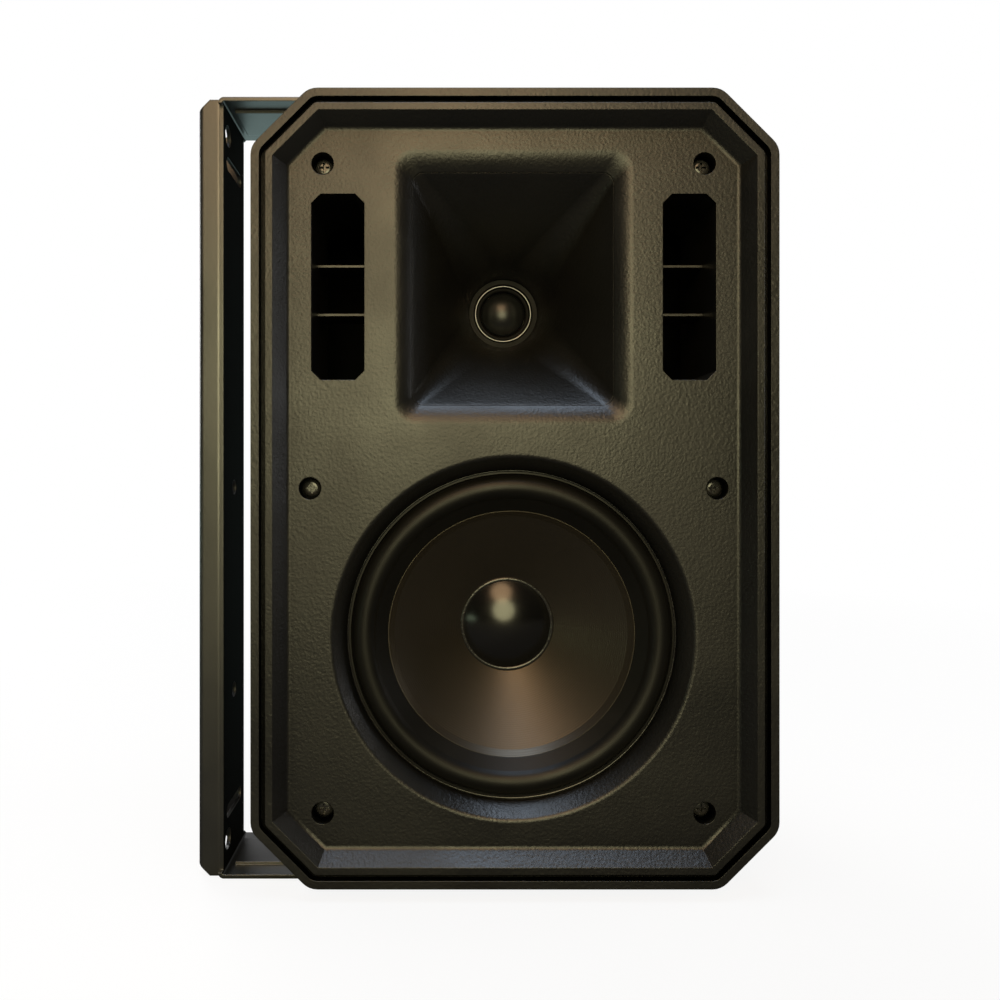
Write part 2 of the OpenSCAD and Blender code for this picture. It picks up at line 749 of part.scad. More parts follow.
// The cone's front surface: its depth at a radius
function cone_depth(r) =
    let (s = (cone_edge_r - r) / (cone_edge_r - cone_neck_r))
    cone_front + cone_t + (cone_neck_depth - cone_front) * (1.15 * s - 0.15 * s * s);

module woofer_cone() color([0.14, 0.13, 0.13]) placed() turned(0, woofer_z) {
    radii = [for (i = [0:cone_steps]) cone_edge_r + (cone_neck_r - cone_edge_r) * i / cone_steps];
    polygon(concat(
        [[roll_in_r - 0.6, cone_front], [roll_in_r - 0.6, cone_front + cone_t]],
        [[cone_edge_r, cone_front + 2 * cone_t]],
        [for (i = [1:cone_steps]) [radii[i], cone_depth(radii[i]) + cone_t]],
        [for (i = [cone_steps:-1:1]) [radii[i], cone_depth(radii[i])]],
        [[cone_edge_r - 0.8, cone_front + 0.9 * cone_t], [cone_edge_r - 0.2, cone_front]]
    ));
}

module woofer_dust_cap() color([0.07, 0.07, 0.07]) placed() {
    rise = 7;
    seat = cone_depth(cap_r) - 0.1;
    sphere_r = (cap_r * cap_r + rise * rise) / (2 * rise);
    translate([0, seat - rise + sphere_r, woofer_z]) difference() {
        sphere(sphere_r);
        sphere(sphere_r - 0.8);
        translate([-sphere_r - 1, rise - sphere_r, -sphere_r - 1]) cube([2 * sphere_r + 2, 2 * sphere_r, 2 * sphere_r + 2]);
    }
}

module woofer_former() color([0.8, 0.7, 0.45]) placed()
    tube(0, woofer_z, cone_neck_depth - 3, coil_back + 1, former_r, former_r - 0.4);

module woofer_coil() color([0.7, 0.35, 0.15]) placed()
    tube(0, woofer_z, plate_front - cone_travel / 2, coil_back, former_r + 0.7, former_r);

module woofer_spider() color([0.75, 0.65, 0.4]) placed() turned(0, woofer_z) {
    steps = 36;
    in_r = former_r;
    out_r = magnet_r + 3.6;
    flat_in = in_r + 3;
    flat_out = magnet_r - 2;
    mid = ledge_depth - 0.5;
    waves = [for (i = [0:steps]) [flat_in + (flat_out - flat_in) * i / steps, mid - 1.1 * (1 - cos(360 * 4 * i / steps))]];
    polygon(concat(
        [[in_r, mid]], waves, [[out_r - 3 * basket_t + 2, mid]],
        [[out_r - 3 * basket_t + 2, mid + 0.5]],
        [for (i = [steps:-1:0]) waves[i] + [0, 0.5]], [[in_r, mid + 0.5]]
    ));
}

module woofer_top_plate() color([0.55, 0.56, 0.58]) placed() tube(0, woofer_z, plate_front, plate_front + plate_t, magnet_r - 1, plate_hole_r);

module woofer_magnet() color([0.18, 0.18, 0.19]) placed()
    tube(0, woofer_z, plate_front + plate_t, plate_front + plate_t + magnet_t, magnet_r, former_r + 6);

module woofer_back_plate() color([0.55, 0.56, 0.58]) placed() turned(0, woofer_z) {
    back = plate_front + plate_t + magnet_t;
    vent = 5;
    translate([vent, plate_front]) square([former_r - 1 - vent, plate_t + magnet_t + 1]);
    translate([vent, back]) square([magnet_r - 2 - vent, 6]);
}

module woofer_tags() color([0.8, 0.7, 0.45]) placed() translate([0, ledge_depth + basket_t, woofer_z])
    for (sx = [-1, 1]) translate([sx * 5 - 2.4, 0, -magnet_r - 12]) cube([4.8, 0.8, 12]);

module woofer_screws() color([0.3, 0.3, 0.32]) placed()
    for (i = [0:5]) woofer_screw_place(i) screw_out(0, 0, surround_front + frame_t, woofer_screw);

// Tweeter
module tweeter_screw_place(i) translate([0, 0, horn_z]) rotate([0, 90 + 120 * i, 0]) translate([tweeter_screw_r, 0, 0]) children();

module tweeter_faceplate() color([0.15, 0.15, 0.15]) placed() difference() {
    turned(0, horn_z) polygon([
        [dome_r + roll_w, throat_depth + 1],
        [dome_r + roll_w + 1, throat_depth],
        [faceplate_r, throat_depth],
        [faceplate_r, throat_depth + faceplate_t],
        [dome_r + roll_w, throat_depth + faceplate_t]
    ]);
    for (i = [0:2]) tweeter_screw_place(i) rod(0, 0, throat_depth - overcut, throat_depth + faceplate_t + overcut, 1.7);
}

module tweeter_surround() color([0.1, 0.1, 0.1]) placed() turned(0, horn_z) {
    r = roll_w / 2 - 0.1;
    base = throat_depth + faceplate_t;
    intersection() {
        translate([dome_r + 0.1 + r, base]) difference() {
            circle(r);
            circle(r - 0.3);
        }
        translate([dome_r, base - 4]) square([6, 4]);
    }
    translate([dome_r + 0.1 + 2 * r - 0.3, base]) square([4, 0.4]);
}

module tweeter_dome() color([0.12, 0.12, 0.13]) placed() {
    rise = 5.6;
    sphere_r = (dome_r * dome_r + rise * rise) / (2 * rise);
    translate([0, throat_depth + faceplate_t - rise + sphere_r, horn_z]) difference() {
        sphere(sphere_r);
        sphere(sphere_r - 0.4);
        translate([-sphere_r - 1, rise - sphere_r, -sphere_r - 1]) cube([2 * sphere_r + 2, 2 * sphere_r, 2 * sphere_r + 2]);
    }
}

module tweeter_coil() color([0.7, 0.35, 0.15]) placed()
    tube(0, horn_z, throat_depth + faceplate_t, tweeter_plate_front + tweeter_plate_t, dome_r, dome_r - 0.5);

module tweeter_top_plate() color([0.5, 0.5, 0.52]) placed()
    tube(0, horn_z, tweeter_plate_front, tweeter_plate_front + tweeter_plate_t, tweeter_magnet_r - 1, tweeter_gap_r - 0.7);

module tweeter_magnet() color([0.17, 0.17, 0.18]) placed() tube(
    0, horn_z, tweeter_plate_front + tweeter_plate_t, tweeter_plate_front + tweeter_plate_t + tweeter_magnet_t,
    tweeter_magnet_r, dome_r + 5
);

module tweeter_back_plate() color([0.5, 0.5, 0.52]) placed() turned(0, horn_z) {
    back = tweeter_plate_front + tweeter_plate_t + tweeter_magnet_t;
    translate([0, tweeter_plate_front]) square([dome_r - 1, tweeter_plate_t + tweeter_magnet_t + 1]);
    translate([0, back]) square([tweeter_magnet_r - 1, 4]);
}

module tweeter_screws() color([0.3, 0.3, 0.32]) placed()
    for (i = [0:2]) tweeter_screw_place(i) screw_out(0, 0, throat_depth + faceplate_t, tweeter_screw);

// Terminals
module terminal_cup() color([0.11, 0.11, 0.11]) placed() difference() {
    union() {
        translate([0, 0, cup_z]) {
            deep(body_depth + 1, body_depth + 1 + cup_plate_t) cup_outline(cup_margin);
            deep(cup_floor - cup_wall, body_depth + 2) cup_outline(cup_wall);
        }
        for (sx = [-1, 1]) for (sz = [-1, 1])
            rod(sx * board_screw_x, cup_z + sz * board_screw_z, board_back, cup_floor - cup_wall + overcut, 3);
    }
    difference() {
        translate([0, 0, cup_z]) deep(cup_floor, body_depth + cup_plate_t + 2) cup_outline(0);
        for (sx = [-1, 1]) translate([sx * lever_x, 0, cup_z]) terminal_block();
    }
    for (sx = [-1, 1]) rod(sx * board_screw_x, cup_z + board_screw_z, board_back - overcut, cup_floor - cup_wall, 1);
    for (sx = [-1, 1]) rod(sx * board_screw_x, cup_z - board_screw_z, board_back - overcut, cup_floor - cup_wall, 1);
    at_cup_screws() rod(0, 0, body_depth, body_depth + cup_plate_t + 2, 1.7);
    for (sx = [-1, 1])
        block(sx * lever_x - 2, sx * lever_x + 2, cup_floor - cup_wall - overcut, cup_floor + 3, cup_z - 12, cup_z - 11.2);
}

module terminal_block() difference() {
    outer = lever_w / 2 + ear_t + 0.3;
    union() {
        block(-outer, outer, cup_floor - overcut, cup_floor + 3, -16, 16);
        for (sx = [-1, 1]) translate([sx > 0 ? outer - ear_t : -outer, 0, 0])
            block(0, ear_t, cup_floor + 2, lever_hinge_y + 3.5, 8, 16);
    }
    translate([-outer - overcut, lever_hinge_y, lever_hinge_z - cup_z]) rotate([0, 90, 0])
        cylinder(h = 2 * outer + 2 * overcut, r = lever_pin_r + lever_fit);
}

module lever(side) translate([side * lever_x, lever_hinge_y, lever_hinge_z]) {
    translate([-lever_w / 2 - ear_t, 0, 0]) rotate([0, 90, 0]) cylinder(h = lever_w + 2 * ear_t, r = lever_pin_r);
    rotate([lever_slope, 0, 0]) {
        translate([-lever_w / 2, -lever_t / 2, -lever_len]) cube([lever_w, lever_t, lever_len]);
        translate([-lever_w / 2, lever_t / 2 - 0.01, -lever_len]) cube([lever_w, 1.2, 3]);
    }
}

module terminal_lever_red() color([0.6, 0.08, 0.06]) placed() lever(1);

module terminal_lever_black() color([0.08, 0.08, 0.08]) placed() lever(-1);

module terminal_contacts() color([0.8, 0.7, 0.45]) placed()
    for (sx = [-1, 1])
        block(sx * lever_x - 2, sx * lever_x + 2, cup_floor - cup_wall - 5, cup_floor + 3, cup_z - 12, cup_z - 11.2);

module terminal_gasket() color([0.2, 0.2, 0.2]) placed() difference() {
    translate([0, 0, cup_z]) deep(body_depth, body_depth + 1) cup_outline(cup_margin);
    translate([0, 0, cup_z]) deep(body_depth - overcut, body_depth + 2) cup_outline(cup_wall);
    at_cup_screws() rod(0, 0, body_depth - overcut, body_depth + 2, 1.7);
}

module terminal_screws() color([0.2, 0.2, 0.2]) placed()
    at_cup_screws() screw_out(0, 0, body_depth + 1 + cup_plate_t, cup_screw);

// Crossover
module crossover_board() color([0.1, 0.3, 0.15]) placed() difference() {
    block(-board_w / 2, board_w / 2, board_front, board_back, cup_z - board_h / 2, cup_z + board_h / 2);
    for (sx = [-1, 1]) for (sz = [-1, 1])
        rod(sx * board_screw_x, cup_z + sz * board_screw_z, board_front - overcut, board_back + overcut, 1.3);
}

module coil_bobbin(x, z, size) let (r = size[0], h = size[1]) turned(x, z) {
    translate([r * 0.35, board_front - 1.2]) square([r * 0.65, 1.2]);
    translate([r * 0.35, board_front - h]) square([r * 0.65, 1.2]);
    translate([r * 0.35, board_front - h + 1]) square([r * 0.55, h - 2]);
}

module inductor_large() color([0.72, 0.4, 0.2]) placed() coil_bobbin(0, cup_z + inductor_big_z, inductor_big);

module inductor_small() color([0.72, 0.4, 0.2]) placed() coil_bobbin(-inductor_little_x, cup_z, inductor_little);

module capacitors() color([0.85, 0.75, 0.2]) placed() for (k = [0, 1])
    translate([capacitor_x, board_front - capacitor_r + capacitor_step * k, cup_z + capacitor_z - capacitor_pitch * k])
        rotate([0, 90, 0]) cylinder(h = capacitor_len, r = capacitor_r - capacitor_step * k);

module resistor() color([0.85, 0.85, 0.82]) placed()
    block(resistor_x, resistor_x + resistor_w, board_front - resistor_w, board_front, cup_z - resistor_h / 2, cup_z + resistor_h / 2);

module board_screws() color([0.3, 0.3, 0.32]) placed() for (sx = [-1, 1]) for (sz = [-1, 1])
    screw_in(sx * board_screw_x, cup_z + sz * board_screw_z, board_front, board_screw);

damping_half_w = back_half_w - wall - damping_gap;
damping_low = cup_z + pocket_h / 2 + damping_rise;
damping_high = body_h_at(body_depth) - wall - damping_gap;

module damping_sheet() color([0.75, 0.75, 0.72]) placed()
    deep(body_depth - wall - damping_t, body_depth - wall) translate([0, (damping_low + damping_high) / 2])
        polygon(soft_rectangle(damping_half_w, (damping_high - damping_low) / 2, damping_round, 4));

bracket();
pivot_bolts();
pivot_washers();
pivot_shims();
pivot_spacers();
pivot_inserts();
cabinet_shell();
cabinet_gasket();
front_baffle();
horn_flare();
baffle_screws();
port_duct_left();
port_duct_right();
woofer_gasket();
woofer_frame();
woofer_surround();
woofer_cone();
woofer_dust_cap();
woofer_former();
woofer_coil();
woofer_spider();
woofer_top_plate();
woofer_magnet();
woofer_back_plate();
woofer_tags();
woofer_screws();
tweeter_faceplate();
tweeter_surround();
tweeter_dome();
tweeter_coil();
tweeter_top_plate();
tweeter_magnet();
tweeter_back_plate();
tweeter_screws();
terminal_cup();
terminal_gasket();
terminal_lever_red();
terminal_lever_black();
terminal_contacts();
terminal_screws();
crossover_board();
inductor_large();
inductor_small();
capacitors();
resistor();
board_screws();
damping_sheet();
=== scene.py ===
import math

import bpy
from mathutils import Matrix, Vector
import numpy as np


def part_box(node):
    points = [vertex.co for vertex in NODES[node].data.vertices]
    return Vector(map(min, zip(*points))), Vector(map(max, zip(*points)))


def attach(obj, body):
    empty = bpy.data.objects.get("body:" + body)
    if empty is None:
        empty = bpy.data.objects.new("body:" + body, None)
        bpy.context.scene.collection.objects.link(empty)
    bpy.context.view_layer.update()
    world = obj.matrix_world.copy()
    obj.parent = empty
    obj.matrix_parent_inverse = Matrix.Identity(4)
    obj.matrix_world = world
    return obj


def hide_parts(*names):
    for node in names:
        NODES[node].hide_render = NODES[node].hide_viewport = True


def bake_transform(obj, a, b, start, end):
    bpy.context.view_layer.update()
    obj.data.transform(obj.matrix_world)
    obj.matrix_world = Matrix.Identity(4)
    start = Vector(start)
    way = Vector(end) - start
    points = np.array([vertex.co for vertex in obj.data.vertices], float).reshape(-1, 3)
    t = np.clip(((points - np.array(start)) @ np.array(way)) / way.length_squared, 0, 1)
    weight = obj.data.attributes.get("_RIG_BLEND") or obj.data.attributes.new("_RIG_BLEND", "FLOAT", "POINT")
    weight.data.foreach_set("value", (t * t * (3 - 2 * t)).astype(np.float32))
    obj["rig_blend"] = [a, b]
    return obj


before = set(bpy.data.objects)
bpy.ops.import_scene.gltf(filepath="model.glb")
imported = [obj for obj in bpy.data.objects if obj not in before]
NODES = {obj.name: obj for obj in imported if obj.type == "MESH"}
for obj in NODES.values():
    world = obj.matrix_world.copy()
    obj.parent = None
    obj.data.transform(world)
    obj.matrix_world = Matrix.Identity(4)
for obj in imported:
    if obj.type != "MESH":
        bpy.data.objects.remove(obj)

bl_info = {
    "name": "Two-way loudspeaker on a U-bracket",
    "version": (1, 0, 0),
    "blender": (4, 5, 0),
    "location": "View3D > Sidebar > Loudspeaker",
    "description": "Dresses the loudspeaker's solids with finishes, small trim and a studio",
    "category": "Object",
}

MM = 0.001


def middle_of(node):
    low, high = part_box(node)
    return (low + high) / 2


# Places in the loudspeaker, in metres, read from the solids
WOOFER = middle_of("woofer_cone")
TWEETER = middle_of("tweeter_dome")
BAFFLE = middle_of("front_baffle")
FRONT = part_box("front_baffle")[0].y

# Radii and thicknesses of the modelled trim
SURROUND_EDGE = 85.2 * MM
ROLL_OUTER = 80.4 * MM
ROLL_INNER = 67.2 * MM
SURROUND_FOOT = 62.0 * MM
RUBBER = 0.7 * MM
GASKET = 0.8 * MM
SEAM = 82.3 * MM
DOME_RING = 15.7 * MM

# The photograph's view: the camera's place in metres, its shift in parts of the image, its sensor in mm
VIEW_X, VIEW_Z = 0.111, 0.061
SHIFT_X, SHIFT_Y = 0.060, -0.025
SENSOR = 36
FLOOR_SIZE = 30

# The studio's lights: name, place from the middle of the front, watts, width and colour
LIGHTS = (
    ("key_light", (-0.04, -1.50, 0.26), 12.5, 0.85, (1.0, 0.92, 0.52)),
    ("upper_light", (-0.12, -1.40, 1.02), 13, 0.9, (1.0, 0.64, 0.34)),
    ("side_light", (-1.50, -1.30, -0.35), 4, 0.6, (0.80, 1.0, 0.66)),
    ("low_light", (-0.55, -1.45, -0.85), 3, 0.5, (0.82, 1.0, 0.72)),
    ("top_light", (0.0, -0.28, 1.40), 12, 0.8, (0.68, 0.82, 1.0)),
    ("back_light", (-0.90, 1.15, 1.40), 20, 1.0, (1.0, 1.0, 1.0)),
    ("right_light", (1.60, 0.15, 0.30), 9, 0.9, (1.0, 1.0, 1.0)),
    ("left_light", (-1.60, 0.70, 0.40), 12, 0.9, (1.0, 1.0, 1.0)),
)


# Small helpers for modelling as by hand

def clear_selection():
    if bpy.context.mode != "OBJECT":
        bpy.ops.object.mode_set(mode="OBJECT")
    bpy.ops.object.select_all(action="DESELECT")


def pick(obj):
    """Makes obj the only selected and the active object."""
    clear_selection()
    obj.select_set(True)
    bpy.context.view_layer.objects.active = obj


def edit_all(obj):
    """Opens obj in edit mode with all of it selected."""
    pick(obj)
    bpy.ops.object.mode_set(mode="EDIT")
    bpy.ops.mesh.select_all(action="SELECT")


def leave_edit():
    bpy.ops.object.mode_set(mode="OBJECT")


def settle(obj):
    """Puts the object's place, turn and size into its mesh."""
    pick(obj)
    bpy.ops.object.transform_apply(location=True, rotation=True, scale=True)


def apply_modifiers(obj):
    pick(obj)
    for modifier in list(obj.modifiers):
        bpy.ops.object.modifier_apply(modifier=modifier.name)


def smooth(obj, angle):
    pick(obj)
    bpy.ops.object.shade_smooth_by_angle(angle=math.radians(angle))


def roughen(obj, offset, seed):
    """Moves every point a little, as in a thing laid by hand."""
    edit_all(obj)
    bpy.ops.transform.vertex_random(offset=offset, uniform=0.0, normal=0.0, seed=seed)
    leave_edit()


def half_round(r, y, width, height, steps):
    """Points of (radius, depth) over a bulge to the front, from its outer foot to its inner one."""
    angles = [math.pi * k / steps for k in range(steps + 1)]
    return [(r + width * math.cos(a), y - height * math.sin(a)) for a in angles]


def spun(name, profile, centre, steps):
    """A ring: its profile of (radius, depth) points is drawn by extruding a vertex, then spun about Y."""
    points = [Vector((centre.x + r, y, centre.z)) for r, y in profile]
    points.append(points[0])
    clear_selection()
    bpy.ops.mesh.primitive_plane_add(size=0.002, location=(0, 0, 0))
    obj = bpy.context.object
    obj.name = name
    edit_all(obj)
    bpy.ops.mesh.merge(type="CENTER")
    bpy.ops.transform.translate(value=points[0])
    for a, b in zip(points, points[1:]):
        bpy.ops.mesh.extrude_region_move(TRANSFORM_OT_translate={"value": b - a})
    bpy.ops.mesh.select_all(action="SELECT")
    bpy.ops.mesh.remove_doubles(threshold=1e-6)
    bpy.ops.mesh.select_all(action="SELECT")
    bpy.ops.mesh.spin(steps=steps, angle=math.tau, center=(centre.x, 0, centre.z), axis=(0, 1, 0))
    bpy.ops.mesh.select_all(action="SELECT")
    bpy.ops.mesh.remove_doubles(threshold=2e-6)
    bpy.ops.mesh.normals_make_consistent(inside=False)
    leave_edit()
    return obj


def flex(obj, fixed, moving, centre, r_fixed, r_moving):
    """A ring that flexes between the fixed body at r_fixed and the moving body at r_moving."""
    start = (centre.x + r_fixed, 0, centre.z)
    end = (centre.x + r_moving, 0, centre.z)
    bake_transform(obj, fixed, moving, start=start, end=end)
    weights = obj.data.attributes["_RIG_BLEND"].data
    for vertex in obj.data.vertices:
        r = math.hypot(vertex.co.x - centre.x, vertex.co.z - centre.z)
        t = min(max((r - r_fixed) / (r_moving - r_fixed), 0), 1)
        weights[vertex.index].value = t * t * (3 - 2 * t)


def dress(obj, material, body):
    """Gives a finished piece its material, the body it rides on and the slot of its finish."""
    obj.data.materials.clear()
    obj.data.materials.append(material)
    if body:
        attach(obj, body)


def paint(material, *nodes):
    """Gives solids of the frame their material."""
    for node in nodes:
        for place in NODES[node].material_slots:
            place.material = material


# Small helpers for node trees

def add(tree, kind, settings=None, **values):
    """A new node with its settings, and its inputs given by name as a value or as a socket to link from."""
    node = tree.nodes.new(kind)
    for key, value in (settings or {}).items():
        setattr(node, key, value)
    for key, value in values.items():
        numbered = key[1:].isdigit()
        socket = node.inputs[int(key[1:])] if numbered else node.inputs[key.replace("_", " ")]
        if isinstance(value, bpy.types.NodeSocket):
            tree.links.new(value, socket)
        else:
            socket.default_value = value
    return node


def maths(tree, operation, a, b=0.0):
    return add(tree, "ShaderNodeMath", {"operation": operation}, i0=a, i1=b).outputs[0]


def vector_maths(tree, operation, a, b):
    return add(tree, "ShaderNodeVectorMath", {"operation": operation}, i0=a, i1=b).outputs


def length_of(tree, vector):
    return add(tree, "ShaderNodeVectorMath", {"operation": "LENGTH"}, i0=vector).outputs["Value"]


def scaled(tree, vector, factor):
    return add(tree, "ShaderNodeVectorMath", {"operation": "SCALE"}, i0=vector, Scale=factor).outputs[0]


def parts_of(tree, vector):
    return add(tree, "ShaderNodeSeparateXYZ", None, Vector=vector).outputs


def remap(tree, value, start, end, low, high):
    """The value's range from start to end laid onto the range from low to high, and held there."""
    return add(tree, "ShaderNodeMapRange", None, Value=value, i1=start, i2=end, i3=low, i4=high).outputs[0]


def mixed(tree, share, first, second):
    """The first colour where share is 0, and the second where it is 1."""
    return add(tree, "ShaderNodeMix", {"data_type": "RGBA"}, i0=share, i6=first, i7=second).outputs[2]


def coordinates(tree, kind="Object"):
    return add(tree, "ShaderNodeTexCoord").outputs[kind]


# Node groups, each built once and used by several finishes

def new_group(name, inputs, outputs):
    tree = bpy.data.node_groups.new(name, "ShaderNodeTree")
    for label, kind, value in inputs:
        tree.interface.new_socket(label, in_out="INPUT", socket_type=kind).default_value = value
    for label, kind in outputs:
        tree.interface.new_socket(label, in_out="OUTPUT", socket_type=kind)
    return tree, tree.nodes.new("NodeGroupInput").outputs, tree.nodes.new("NodeGroupOutput").inputs


def mottle_group(name):
    """Broad soft changes of a colour over the surface, and the same pattern as a value."""
    tree, given, result = new_group(
        name,
        [
            ("Color", "NodeSocketColor", (0.5, 0.5, 0.5, 1)),
            ("Scale", "NodeSocketFloat", 20),
            ("Spread", "NodeSocketFloat", 0.2),
        ],
        [("Color", "NodeSocketColor"), ("Value", "NodeSocketFloat")],
    )
    place = coordinates(tree)
    noise = add(
        tree, "ShaderNodeTexNoise", None, Vector=place, Scale=given["Scale"], Detail=5.0, Roughness=0.6
    ).outputs["Fac"]
    low = maths(tree, "SUBTRACT", 1.0, given["Spread"])
    high = maths(tree, "ADD", 1.0, given["Spread"])
    factor = remap(tree, noise, 0.3, 0.7, low, high)
    tree.links.new(scaled(tree, given["Color"], factor), result["Color"])
    tree.links.new(noise, result["Value"])
    return tree


def grain_group(name):
    """Fine moulded grain: cells broken up by noise, as a normal."""
    tree, given, result = new_group(
        name,
        [
            ("Scale", "NodeSocketFloat", 900),
            ("Strength", "NodeSocketFloat", 0.4),
            ("Depth", "NodeSocketFloat", 0.0001),
            ("Normal", "NodeSocketVector", (0, 0, 0)),
        ],
        [("Normal", "NodeSocketVector")],
    )
    place = coordinates(tree)
    noise = add(
        tree, "ShaderNodeTexNoise", None, Vector=place, Scale=given["Scale"], Detail=3.0, Roughness=0.55
    ).outputs["Fac"]
    cell_scale = maths(tree, "MULTIPLY", given["Scale"], 0.7)
    cells = add(
        tree, "ShaderNodeTexVoronoi", {"feature": "SMOOTH_F1"}, Vector=place, Scale=cell_scale
    ).outputs["Distance"]
    height = maths(tree, "ADD", noise, maths(tree, "MULTIPLY", cells, 0.8))
    bump = add(
        tree, "ShaderNodeBump", None,
        Strength=given["Strength"], Distance=given["Depth"], Height=height, Normal=given["Normal"],
    )
    tree.links.new(bump.outputs[0], result["Normal"])
    return tree


def painted_crevice_shade_group(name):
    """Painted shade: 1 in the open and towards 0 in grooves and other narrow places, read from ambient
    occlusion.
    """
    tree, given, result = new_group(
        name, [("Distance", "NodeSocketFloat", 0.01)], [("Value", "NodeSocketFloat")]
    )
    open_share = add(
        tree, "ShaderNodeAmbientOcclusion", {"samples": 4}, Distance=given["Distance"]
    ).outputs["AO"]
    tree.links.new(remap(tree, open_share, 0.40, 0.88, 0.05, 1.0), result["Value"])
    return tree


def edge_group(name):
    """Rounded normals along hard edges, and a mask that is 1 on the edges."""
    tree, given, result = new_group(
        name,
        [("Radius", "NodeSocketFloat", 0.0005)],
        [("Normal", "NodeSocketVector"), ("Mask", "NodeSocketFloat")],
    )
    bevel = add(tree, "ShaderNodeBevel", {"samples": 4}, Radius=given["Radius"]).outputs[0]
    flat = add(tree, "ShaderNodeNewGeometry").outputs["Normal"]
    along = vector_maths(tree, "DOT_PRODUCT", bevel, flat)["Value"]
    tree.links.new(bevel, result["Normal"])
    tree.links.new(remap(tree, along, 0.98, 0.8, 0.0, 1.0), result["Mask"])
    return tree


def rings_group(name):
    """Fine rings about an axis along Y, as a value from 0 to 1."""
    tree, given, result = new_group(
        name,
        [
            ("Centre", "NodeSocketVector", (0, 0, 0)),
            ("Spacing", "NodeSocketFloat", 0.001),
            ("Waver", "NodeSocketFloat", 0.3),
        ],
        [("Value", "NodeSocketFloat")],
    )
    place = coordinates(tree)
    offset = vector_maths(tree, "SUBTRACT", place, given["Centre"])[0]
    flat = vector_maths(tree, "MULTIPLY", offset, (1, 0, 1))[0]
    noise = add(tree, "ShaderNodeTexNoise", None, Vector=place, Scale=60.0, Detail=2.0).outputs["Fac"]
    even = maths(tree, "DIVIDE", length_of(tree, flat), given["Spacing"])
    turns = maths(tree, "ADD", even, maths(tree, "MULTIPLY", noise, given["Waver"]))
    wave = maths(tree, "SINE", maths(tree, "MULTIPLY", turns, math.tau))
    tree.links.new(maths(tree, "ADD", maths(tree, "MULTIPLY", wave, 0.5), 0.5), result["Value"])
    return tree


def weave_group(name):
    """Crossed threads, as a value from 0 to 1."""
    tree, given, result = new_group(
        name, [("Scale", "NodeSocketFloat", 1200)], [("Value", "NodeSocketFloat")]
    )
    place = coordinates(tree)
    threads = [
        add(
            tree, "ShaderNodeTexWave", {"bands_direction": axis},
            Vector=place, Scale=given["Scale"], Distortion=0.6, Detail=1.0,
        ).outputs["Fac"]
        for axis in ("X", "Z")
    ]
    tree.links.new(maths(tree, "MAXIMUM", *threads), result["Value"])
    return tree


def smoothing_group(name):
    """Joins a solid's loose triangles and shades them smooth, except across edges over 28 degrees."""
    tree = bpy.data.node_groups.new(name, "GeometryNodeTree")
    for in_out in ("INPUT", "OUTPUT"):
        tree.interface.new_socket("Geometry", in_out=in_out, socket_type="NodeSocketGeometry")
    solid = tree.nodes.new("NodeGroupInput").outputs[0]
    result = tree.nodes.new("NodeGroupOutput").inputs[0]
    plain = add(
        tree, "GeometryNodeRemoveAttribute", None, Geometry=solid, Name="custom_normal"
    ).outputs[0]
    joined = add(tree, "GeometryNodeMergeByDistance", None, Geometry=plain, Distance=2e-6).outputs[0]
    angle = add(tree, "GeometryNodeInputMeshEdgeAngle").outputs["Unsigned Angle"]
    gentle = add(
        tree, "FunctionNodeCompare", {"data_type": "FLOAT", "operation": "LESS_THAN"},
        i0=angle, i1=math.radians(28),
    ).outputs[0]
    faces = add(tree, "GeometryNodeSetShadeSmooth", {"domain": "FACE"}, i0=joined).outputs[0]
    edges = add(tree, "GeometryNodeSetShadeSmooth", {"domain": "EDGE"}, i0=faces, i2=gentle).outputs[0]
    tree.links.new(edges, result)
    return tree


BUILDERS = {
    "soft_mottle": mottle_group,
    "moulded_grain": grain_group,
    "painted_crevice_shade": painted_crevice_shade_group,
    "rounded_edges": edge_group,
    "turned_rings": rings_group,
    "cloth_weave": weave_group,
    "smooth_solid": smoothing_group,
}
GROUPS = {}


def group_named(name):
    if name not in GROUPS:
        GROUPS[name] = BUILDERS[name](name)
    return GROUPS[name]


def placed_group(tree, name, **values):
    return add(tree, "ShaderNodeGroup", {"node_tree": group_named(name)}, **values).outputs


def soften(*nodes):
    """Smooth shading for solids whose curves are built of flat facets, with the flat faces kept flat."""
    for node in nodes:
        obj = NODES[node]
        obj.modifiers.new("smooth", "NODES").node_group = group_named("smooth_solid")
        weighted = obj.modifiers.new("weighted", "WEIGHTED_NORMAL")
        weighted.keep_sharp = True
        weighted.weight = 60


# Finishes: a colour, a roughness, and sizes in millimetres

def new_finish(name):
    """An empty material with its surface shader."""
    material = bpy.data.materials.new(name)
    material.use_nodes = True
    tree = material.node_tree
    tree.nodes.clear()
    shader = tree.nodes.new("ShaderNodeBsdfPrincipled")
    output = tree.nodes.new("ShaderNodeOutputMaterial")
    tree.links.new(shader.outputs[0], output.inputs["Surface"])
    return material, tree, shader


